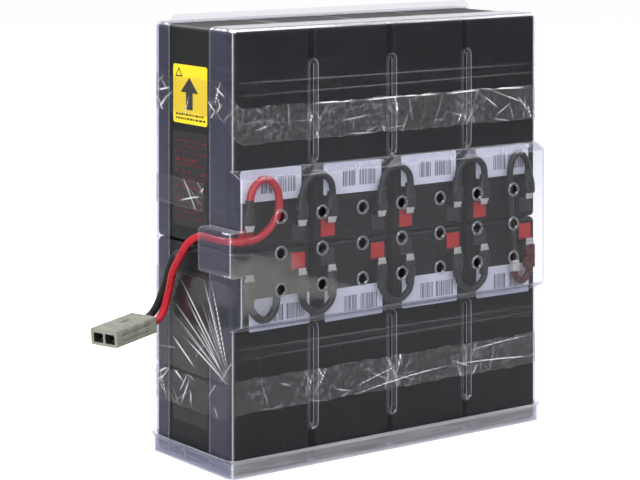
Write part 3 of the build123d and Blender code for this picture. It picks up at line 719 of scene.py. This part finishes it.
lower_folds = front_creases(21, lower_low, lower_high, 40) + [
    (run_at_front(8 * MM), lower_low + 6 * MM, math.radians(-6), 90 * MM, 0.4 * MM, 0.6 * MM),
    (run_at_front(-14 * MM), lower_low + 11 * MM, math.radians(-15), 40 * MM, 0.35 * MM, 0.45 * MM),
    (run_at_front(96 * MM), lower_low + 8 * MM, math.radians(3), 70 * MM, 0.45 * MM, 0.6 * MM),
    (run_at_front(100 * MM), lower_high - 3 * MM, math.radians(-4), 60 * MM, 0.4 * MM, 0.4 * MM),
]
lower_folds += far_creases(23, lower_low, lower_high, 40)
lower_folds += side_creases(22, lower_low + LOWER_DROP, lower_high + LOWER_DROP, 18, lean=45.0)
tape(
    "tape_turn_lower",
    lower_low,
    lower_high,
    left_side_shift(LOWER_DROP),
    lower_folds,
    seed=2,
    replaced=["tape_lower"],
)

def no_shift(run):
    return 0.0


HIGH_FILM = (177 * MM, 197 * MM)
LOW_FILM = (64 * MM, 131 * MM)
behind_front_edge = run_at_left(-15 * MM)
on_rear = SIDE_START + SIDE_LENGTH + 46 * MM
tape(
    "tape_side_high",
    *HIGH_FILM,
    no_shift,
    side_creases(32, *HIGH_FILM, 12, lean=30.0),
    span=(behind_front_edge, on_rear),
    seed=3,
)


# Low seams in a thinner film, above each turn of tape
for label, film_low, film_high, tall in (
    ("upper", 258 * MM, 269 * MM, 0.2),
    ("lower", 79 * MM, 88 * MM, 0.17),
):
    seams = [
        (run_at_front(x), z, math.radians(lean), 300 * MM, 0.5 * MM, tall * MM)
        for x, z, lean in ((-8 * MM, film_high - 1.5 * MM, 0.2), (12 * MM, film_low + 2 * MM, -0.3))
    ]
    tape(
        f"film_strip_{label}",
        film_low,
        film_high,
        no_shift,
        seams,
        span=(run_at_front(half_x - 6 * MM), run_at_front(6 * MM - half_x)),
        seed=6,
        material=film,
    )


def fan_creases(seed, foot_y, foot_z, count):
    """Long folds pulled from one corner of a film, spreading up and back over the side."""
    dice = random.Random(seed)
    made = []
    for i in range(count):
        lean = math.radians(22 + 52 * (i + dice.uniform(-0.4, 0.4)) / count)
        near, far = dice.uniform(2, 30) * MM, dice.uniform(48, 92) * MM
        far = min(far, 66 * MM / math.sin(lean))
        middle = (near + far) / 2
        at = run_at_left(foot_y) + middle * math.cos(lean)
        z = foot_z + middle * math.sin(lean)
        width, tall = dice.uniform(0.5, 0.8) * MM, dice.uniform(0.2, 0.65) * MM
        made.append((at, z, lean + dice.uniform(-0.05, 0.05), far - near, width, tall))
    return made


side_folds = fan_creases(42, -48 * MM, LOW_FILM[0] - 1 * MM, 13)
side_folds += side_creases(43, LOW_FILM[0], 84 * MM, 6, lean=30.0)
tape(
    "tape_side_low",
    *LOW_FILM,
    no_shift,
    side_folds,
    span=(run_at_left(-48.5 * MM), on_rear + 8 * MM),
    seed=4,
)


# ---------------------------------------------------------------- vent glint rings, a painted highlight

GLINT_R = 0.2 * MM
RING_STEPS = 28
RING_SIDES = 8


def ring(centre, radius, around=RING_STEPS, section=RING_SIDES):
    """Torus of points, its axis along Y."""
    points = []
    for i in range(around):
        turn = math.tau * i / around
        for k in range(section):
            bend = math.tau * k / section
            reach = radius + GLINT_R * math.cos(bend)
            points.append(
                centre + Vector((reach * math.cos(turn), GLINT_R * math.sin(bend), reach * math.sin(turn)))
            )
    return points


def ring_faces(first, around=RING_STEPS, section=RING_SIDES):
    faces = []
    for i in range(around):
        for k in range(section):
            a = first + i * section + k
            b = first + i * section + (k + 1) % section
            c = first + (i + 1) % around * section + (k + 1) % section
            d = first + (i + 1) % around * section + k
            faces.append((a, b, c, d))
    return faces


VENT_PITCH = Vector((35.0, 0, 25.0)) * MM
VENT_GLINT_RADIUS = 4.6 * MM
VENT_COLUMNS = range(-3, 4)
VENT_ROWS = range(-1, 2)
tabs_low, tabs_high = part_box("tab_receptacles")
vent_middle = Vector((0, shell_low.y + 0.1 * MM, 0.5 * (tabs_low.z + tabs_high.z) - 1 * MM))
verts, faces = [], []
for column in VENT_COLUMNS:
    for row in VENT_ROWS:
        faces += ring_faces(len(verts))
        verts += ring(vent_middle + Vector((column * VENT_PITCH.x, 0, row * VENT_PITCH.z)), VENT_GLINT_RADIUS)
# Grey rings at the vent rims are a painted highlight, standing for the light that catches each rim's edge.
glint_finish = surface("glint_grey", (0.12, 0.12, 0.135), 0.2, bump=0.01)
piece("vent_glint_rings", verts, faces, "clear_shell", material=glint_finish)


# ---------------------------------------------------------------- labels and print

dice = random.Random(5)
label_boxes = islands("lid_labels")
stickers_low, stickers_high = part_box("lid_labels")
label_front, label_back = stickers_low.y, stickers_high.y
band_middle = 0.5 * (stickers_low.z + stickers_high.z)
outlines, bars = [], []


def rounded(u, v, width, height, radius, turn, arc=4):
    """Outline of a rectangle with rounded corners."""
    c, s = math.cos(turn), math.sin(turn)
    outline = []
    for sx, sy, start in ((1, 1, 0), (-1, 1, 90), (-1, -1, 180), (1, -1, 270)):
        for k in range(arc + 1):
            angle = math.radians(start + 90 * k / arc)
            x = sx * (width / 2 - radius) + radius * math.cos(angle)
            y = sy * (height / 2 - radius) + radius * math.sin(angle)
            outline.append((u + x * c - y * s, v + x * s + y * c))
    return outline


for low, high in label_boxes:
    upper = low.z > band_middle
    first_column = low.x < label_boxes[2][0].x - 5 * MM
    slip = (0.0 if upper else (6.5 if first_column else 1.0)) * MM + dice.uniform(-1.0, 0.6) * MM
    u = (low.x + high.x) / 2 + slip
    v = (low.z + high.z) / 2 + dice.uniform(-0.8, 0.8) * MM
    turn = math.radians(dice.uniform(-1.0, 1.0))
    width, height = high.x - low.x, high.z - low.z
    outlines.append(rounded(u, v, width, height, 1.2 * MM, turn))
    c, s = math.cos(turn), math.sin(turn)
    for group_start, group_width in ((-0.17, 0.22), (0.11, 0.3)):
        at = group_start * width
        while at < (group_start + group_width) * width:
            bar = dice.choice((0.3, 0.45, 0.75, 1.0)) * MM
            tall = height * 0.5
            x, y = at + bar / 2, -0.02 * height
            bars.append(rectangle(u + x * c - y * s, v + x * s + y * c, bar, tall, turn))
            at += bar + dice.choice((0.35, 0.5, 0.8)) * MM

x_axis, z_axis = (1, 0, 0), (0, 0, 1)
stickers = prisms(
    "block_stickers", outlines, (0, label_back, 0), x_axis, z_axis, label_back - label_front, "label_white"
)
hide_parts("lid_labels")
prisms("sticker_bars", bars, (0, label_front, 0), x_axis, z_axis, 0.03 * MM, "label_dark", material=ink_grey)

label_low, label_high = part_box("orientation_label")
towards_front = (0, -1, 0)
label_origin = (label_low.x, label_high.y, label_low.z)
LABEL_W = label_high.y - label_low.y
LABEL_H = label_high.z - label_low.z


def on_label(points):
    return [(u * LABEL_W, v * LABEL_H) for u, v in points]


arrow = on_label(
    [(0.48, 0.79), (0.22, 0.53), (0.38, 0.53), (0.38, 0.24), (0.58, 0.24), (0.58, 0.53), (0.74, 0.53)]
)
triangle_sides = []
tip, left_foot, right_foot = (0.17, 0.95), (0.06, 0.79), (0.28, 0.79)
inner_tip, inner_left, inner_right = (0.17, 0.908), (0.102, 0.812), (0.238, 0.812)
triangle_sides.append(on_label([tip, left_foot, inner_left, inner_tip]))
triangle_sides.append(on_label([left_foot, right_foot, inner_right, inner_left]))
triangle_sides.append(on_label([right_foot, tip, inner_tip, inner_right]))
print_lines = []
for v in (0.135, 0.065):
    at = 0.08
    while at < 0.9:
        word = dice.uniform(0.03, 0.09)
        print_lines.append(on_label([(at, v), (at + word, v), (at + word, v + 0.035), (at, v + 0.035)]))
        at += word + 0.022
prisms(
    "orientation_marks",
    [outline[::-1] for outline in (arrow, *triangle_sides, *print_lines)],
    label_origin,
    towards_front,
    z_axis,
    0.03 * MM,
    "label_dark",
    material=ink_black,
)

side_marks = []
side_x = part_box("side_labels")[0].x
for low, high in islands("side_labels")[-1:]:
    v = low.z + 6 * MM
    while v < high.z - 5 * MM:
        at = -high.y + 3 * MM
        tall = dice.choice((1.0, 1.0, 2.2)) * MM
        while at < -low.y - 6 * MM:
            word = dice.uniform(1.5, 6.0) * MM
            if dice.random() < 0.62:
                side_marks.append([(at, v), (at + word, v), (at + word, v + tall), (at, v + tall)])
            at += word + 1.2 * MM
        v += tall + dice.uniform(1.4, 4.0) * MM
prisms(
    "side_print",
    side_marks,
    (side_x, 0, 0),
    towards_front,
    z_axis,
    0.03 * MM,
    "label_dark",
    material=ink_red,
)


# ---------------------------------------------------------------- terminal boots


def boots(name, node, slot):
    """Shrink sleeves over the push-on receptacles, narrow at the wire and flared at the mouth."""
    sides = 24
    verts, faces = [], []
    dice = random.Random(9)
    for low, high in islands(node):
        middle = (low + high) / 2
        up = 1 if middle.z > band_middle else -1
        mouth = low.z if up > 0 else high.z
        length = high.z - low.z
        half_w, half_d = (high.x - low.x) / 2, (high.y - low.y) / 2
        # Share of the length from the mouth, then of the width and of the depth
        profile = (
            (-0.02, 0.90, 0.95),
            (0.05, 0.98, 1.03),
            (0.25, 0.95, 1.0),
            (0.42, 0.98, 1.02),
            (0.58, 0.86, 0.94),
            (0.72, 0.70, 0.86),
            (0.88, 0.62, 0.86),
            (1.02, 0.60, 0.84),
        )
        first = len(verts)
        lean = dice.uniform(-0.5, 0.5) * MM
        for share, wide, deep in profile:
            swell = 1 + dice.uniform(-0.03, 0.03)
            centre_z = mouth + up * share * length
            for k in range(sides):
                angle = math.tau * k / sides * up
                c, s = math.cos(angle), math.sin(angle)
                x = math.copysign(abs(c) ** 0.7, c) * half_w * wide * swell
                y = math.copysign(abs(s) ** 0.7, s) * half_d * deep * swell
                verts.append(Vector((middle.x + x + lean * share, middle.y + y, centre_z)))
        faces += loft_faces(sides, len(profile), first)
    made = piece(name, verts, faces, slot, sharp=60.0)
    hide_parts(node)


boots("terminal_boots", "receptacle_sleeves", "sleeve_black")


# ---------------------------------------------------------------- main leads

LEAD_R = 2.7 * MM
spread = Vector(joints["lead_spread"]["pos_m"])
lift = Vector(joints["lead_lift"]["pos_m"])
tilt = Vector(joints["connector_tilt"]["pos_m"])
plug_mount = next(m for m in frame["record"]["mounts"] if m["name"] == "power_plug")
plug_axis = Vector(plug_mount["axis"]).normalized()
plug_across = Vector(joints["connector_tilt"]["axis"]).normalized()
hang = Vector((0, 0.66, -0.75)).normalized()
POLE = 5.3 * MM
TURN_REACH = 5.5 * MM
LIFT_REACH = 9.0 * MM
MOUTH_RINGS = 12
EXIT_STEP = 4.5 * MM
STUB_LENGTH = 18 * MM


def metres(points):
    return [Vector(point) * MM for point in points]


def cut(run, point):
    """Index of the point of a run nearest to a given point."""
    return min(range(len(run)), key=lambda i: (run[i] - point).length)


def lead(colour, inner_node, first_points, exit_z, lift_offset, pole_sign, upper_points, lower_points, start):
    """One lead as four tubes end to end: the first rides the pack, the other three, one at each joint, ride no
    body.
    """
    slot = "wire_" + colour
    exit_point = Vector((spread.x, spread.y, exit_z))
    lift_point = lift + lift_offset
    tilt_point = tilt + plug_across * (pole_sign * POLE)
    inside = bezier_run([*first_points, exit_point], start, (0, 1, 0))
    upper = bezier_run([exit_point, *upper_points, lift_point], (0, 1, 0), hang)
    lower = bezier_run([lift_point, *lower_points, tilt_point], hang, plug_axis)
    stub = bezier_run([tilt_point, tilt_point + plug_axis * STUB_LENGTH], plug_axis, plug_axis)
    whole = inside + upper[1:] + lower[1:] + stub[1:]
    before_exit = cut(whole, exit_point) - MOUTH_RINGS
    mid_upper = (cut(whole, exit_point) + cut(whole, lift_point)) // 2
    mid_lower = (cut(whole, lift_point) + cut(whole, tilt_point)) // 2
    rings = tube_rings(whole, LEAD_R)

    def section(name, first, last, body):
        used = rings[first : last + 1]
        verts = [point for ring in used for point in ring]
        return piece(name, verts, loft_faces(len(used[0]), len(used)), slot, body)

    fixed = section(f"lead_{colour}_terminal_run", 0, before_exit, PACK)
    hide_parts(inner_node)
    last_ring = len(whole) - 1
    bent = (
        (f"lead_{colour}_mouth", before_exit, mid_upper, exit_point, TURN_REACH),
        (f"lead_{colour}_drop", mid_upper, mid_lower, lift_point, LIFT_REACH),
        (f"lead_{colour}_tail", mid_lower, last_ring, tilt_point, TURN_REACH),
    )
    bodies = (PACK, "lead_upper", "lead_lower", "connector")
    nodes = (f"lead_{colour}_upper", f"lead_{colour}_lower", f"connector_stub_{colour}")
    for (name, first, last, pivot, reach), a, b, node in zip(bent, bodies, bodies[1:], nodes):
        made = section(name, first, last, None)
        at = cut(whole, pivot)
        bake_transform(made)
        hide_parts(node)


lower_terminal, upper_terminal = islands("receptacle_sleeves")[:2]
left_terminal = 0.5 * (lower_terminal[0].x + lower_terminal[1].x)
tab_y = 0.5 * (lower_terminal[0].y + lower_terminal[1].y)
middle_z = 0.5 * (lower_terminal[0].z + upper_terminal[1].z)


def from_terminal(points):
    """Points given from the left-hand terminals' column, at the middle of the band."""
    origin = Vector((left_terminal, tab_y, middle_z))
    return [origin + Vector(point) * MM for point in points]


red_first = from_terminal(
    [
        (0, 0, 28.05),
        (0.3, 0, 35.5),
        (4.0, 0, 44.8),
        (12.5, 0, 49.5),
        (21.0, 0, 44.5),
        (24.5, 0, 34.0),
        (21.5, 0, 21.5),
        (8.0, -1.0, 10.6),
    ]
)
shell_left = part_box("base_tray")[0].x + 3.6 * MM
red_first += [
    Vector((shell_left + 4 * MM, tab_y - 1 * MM, middle_z + 8.8 * MM)),
    Vector((spread.x, tab_y + 9 * MM, middle_z + 8.9 * MM)),
]
black_first = from_terminal(
    [
        (0, 0, -28.05),
        (0.3, 0, -35.5),
        (4.5, 0, -42.5),
        (12.0, 0, -46.5),
        (19.5, 0, -42.0),
        (22.5, 0, -33.0),
        (20.0, 0, -18.0),
        (9.0, -1.0, -5.0),
    ]
)
black_first += [
    Vector((shell_left + 4 * MM, tab_y - 1 * MM, middle_z - 1.0 * MM)),
    Vector((spread.x, tab_y + 9 * MM, middle_z - 0.3 * MM)),
]
stacked = Vector((0, 0.75, 0.66)).normalized() * 2.95 * MM  # black outside red at the bend
lead(
    "red",
    "lead_red_inner",
    red_first,
    spread.z + EXIT_STEP,
    Vector((-0.6 * MM, 0, 0)) - stacked,
    1,
    metres([(-146.4, -8.9, 156.2), (-147.6, -1.3, 147.4)]),
    metres([(-144.9, 20.0, 117.0), (-146.8, 25.0, 101.5)]),
    (0, 0, 1),
)
lead(
    "black",
    "lead_black_inner",
    black_first,
    spread.z - EXIT_STEP,
    stacked,
    -1,
    metres([(-141.3, -3.0, 150.4), (-142.2, 5.6, 147.6)]),
    metres([(-145.6, 26.0, 118.0), (-148.2, 34.0, 102.0)]),
    (0, 0, -1),
)


# ---------------------------------------------------------------- connector

plug_up = plug_axis.cross(plug_across)
plug_face = Vector(plug_mount["pos_m"])
# Black sleeves inside the plug's two openings are painted shade: the grey housing looks black in there only from
# the shade.
opening_shade = surface("opening_shade_black", (0.008, 0.008, 0.008), 0.6, bump=0.02)


def plug_ring(half_w, half_h, sign, depth):
    """Four corners of a pole's opening, at a depth behind the mating face."""
    middle = plug_face + plug_across * (sign * POLE) - plug_up * 0.4 * MM - plug_axis * depth
    corners = ((-1, -1), (1, -1), (1, 1), (-1, 1))
    return [middle + plug_across * (a * half_w) + plug_up * (b * half_h) for a, b in corners]


verts, faces = [], []
for sign in (-1, 1):
    first = len(verts)
    # From the outside's back end round to the inside's: half width, half height and depth
    for half_w, half_h, depth in (
        (4.45, 3.35, 23.8),
        (4.45, 3.35, 0.4),
        (4.25, 3.15, 0.4),
        (4.25, 3.15, 23.0),
    ):
        verts += plug_ring(half_w * MM, half_h * MM, sign, depth * MM)
    faces += loft_faces(4, 4, first)
piece("plug_opening_shade", verts, faces, "connector_grey", "connector", material=opening_shade, sharp=30.0)


# ---------------------------------------------------------------- set, light and camera


def plane(name, size, location, material):
    half = size / 2
    corners = [(-half, -half, 0), (half, -half, 0), (half, half, 0), (-half, half, 0)]
    mesh = bpy.data.meshes.new(name)
    mesh.from_pydata(corners, [], [(0, 1, 2, 3)])
    mesh.materials.append(material)
    made = bpy.data.objects.new(name, mesh)
    made.location = location
    bpy.context.scene.collection.objects.link(made)
    return made


def floor_finish():
    """Pale matt floor, lifted to white only where the camera looks straight at it."""
    g = Graph("floor_pale")
    drift = g.noise(1.5, 2.0)
    matt = g.add("BsdfDiffuse", {"Color": g.mix(drift, (0.34, 0.34, 0.345), (0.37, 0.37, 0.375))})
    seen = g.add("LightPath", out="Is Camera Ray")
    lift = g.add("Emission", {"Color": (1, 1, 1, 1), "Strength": g.math("MULTIPLY", seen, 0.8)})
    return g.finish(g.add("AddShader", {0: matt, 1: lift}))


plane("floor", 60.0, (0, 0, -0.0002), floor_finish())


def area_light(name, location, target, size, power, tint=(1, 1, 1)):
    data = bpy.data.lights.new(name, "AREA")
    data.shape = "RECTANGLE"
    data.size, data.size_y = size
    data.energy = power
    data.color = tint
    made = bpy.data.objects.new(name, data)
    made.location = location
    aim = Vector(target) - Vector(location)
    made.rotation_euler = aim.to_track_quat("-Z", "Y").to_euler()
    bpy.context.scene.collection.objects.link(made)
    return made


centre = (0, 0, 0.15)
area_light("key_left", (-1.9, -0.9, 0.9), centre, (0.25, 1.6), 40)
area_light("key_front", (-0.5, -2.0, 1.5), centre, (2.0, 0.3), 30)
area_light("top_right", (1.0, -0.3, 1.5), centre, (1.2, 0.9), 34)
area_light("top_rear", (-0.3, 1.2, 1.6), centre, (1.4, 0.6), 26)
area_light("strip_right", (1.4, 0.3, 0.5), centre, (0.15, 1.0), 9)

# White to the camera, softer as a light on the object
AMBIENT = 0.5
WHITE = 1.0
world = bpy.data.worlds.new("studio")
world.use_nodes = True
backdrop = world.node_tree.nodes["Background"]
backdrop.inputs["Color"].default_value = (0.97, 0.985, 1.0, 1.0)
seen_directly = world.node_tree.nodes.new("ShaderNodeLightPath")
backdrop_strength = world.node_tree.nodes.new("ShaderNodeMapRange")
backdrop_strength.inputs["To Min"].default_value = AMBIENT
backdrop_strength.inputs["To Max"].default_value = WHITE
world.node_tree.links.new(seen_directly.outputs["Is Camera Ray"], backdrop_strength.inputs["Value"])
world.node_tree.links.new(backdrop_strength.outputs[0], backdrop.inputs["Strength"])
bpy.context.scene.world = world
bpy.context.scene.view_settings.view_transform = "Standard"
bpy.context.scene.cycles.transparent_max_bounces = 32

# Level camera with the lens slid down. The slide is for this view only, so it is dropped when the camera
# is turned by quaternion, as it is for views from round about.
SENSOR = 36.0
LENS = 126.69
SHIFT = -0.5895
PITCH = math.radians(90 - 0.21)
YAW = math.radians(-36.39)
camera_data = bpy.data.cameras.new("camera")
camera_data.sensor_width = SENSOR
camera_data.lens = LENS
camera_data.clip_end = 100.0
camera = bpy.data.objects.new("camera", camera_data)
camera.location = (-0.99311, -1.30964, 0.42319)
camera.rotation_euler = (PITCH, 0, YAW)
bpy.context.scene.collection.objects.link(camera)
bpy.context.scene.camera = camera
shift_driver = camera_data.driver_add("shift_y").driver
shift_driver.type = "SCRIPTED"
mode = shift_driver.variables.new()
mode.name = "mode"
mode.type = "SINGLE_PROP"
mode.targets[0].id = camera
mode.targets[0].data_path = "rotation_mode"
shift_driver.expression = f"{SHIFT} * min(mode, 1)"
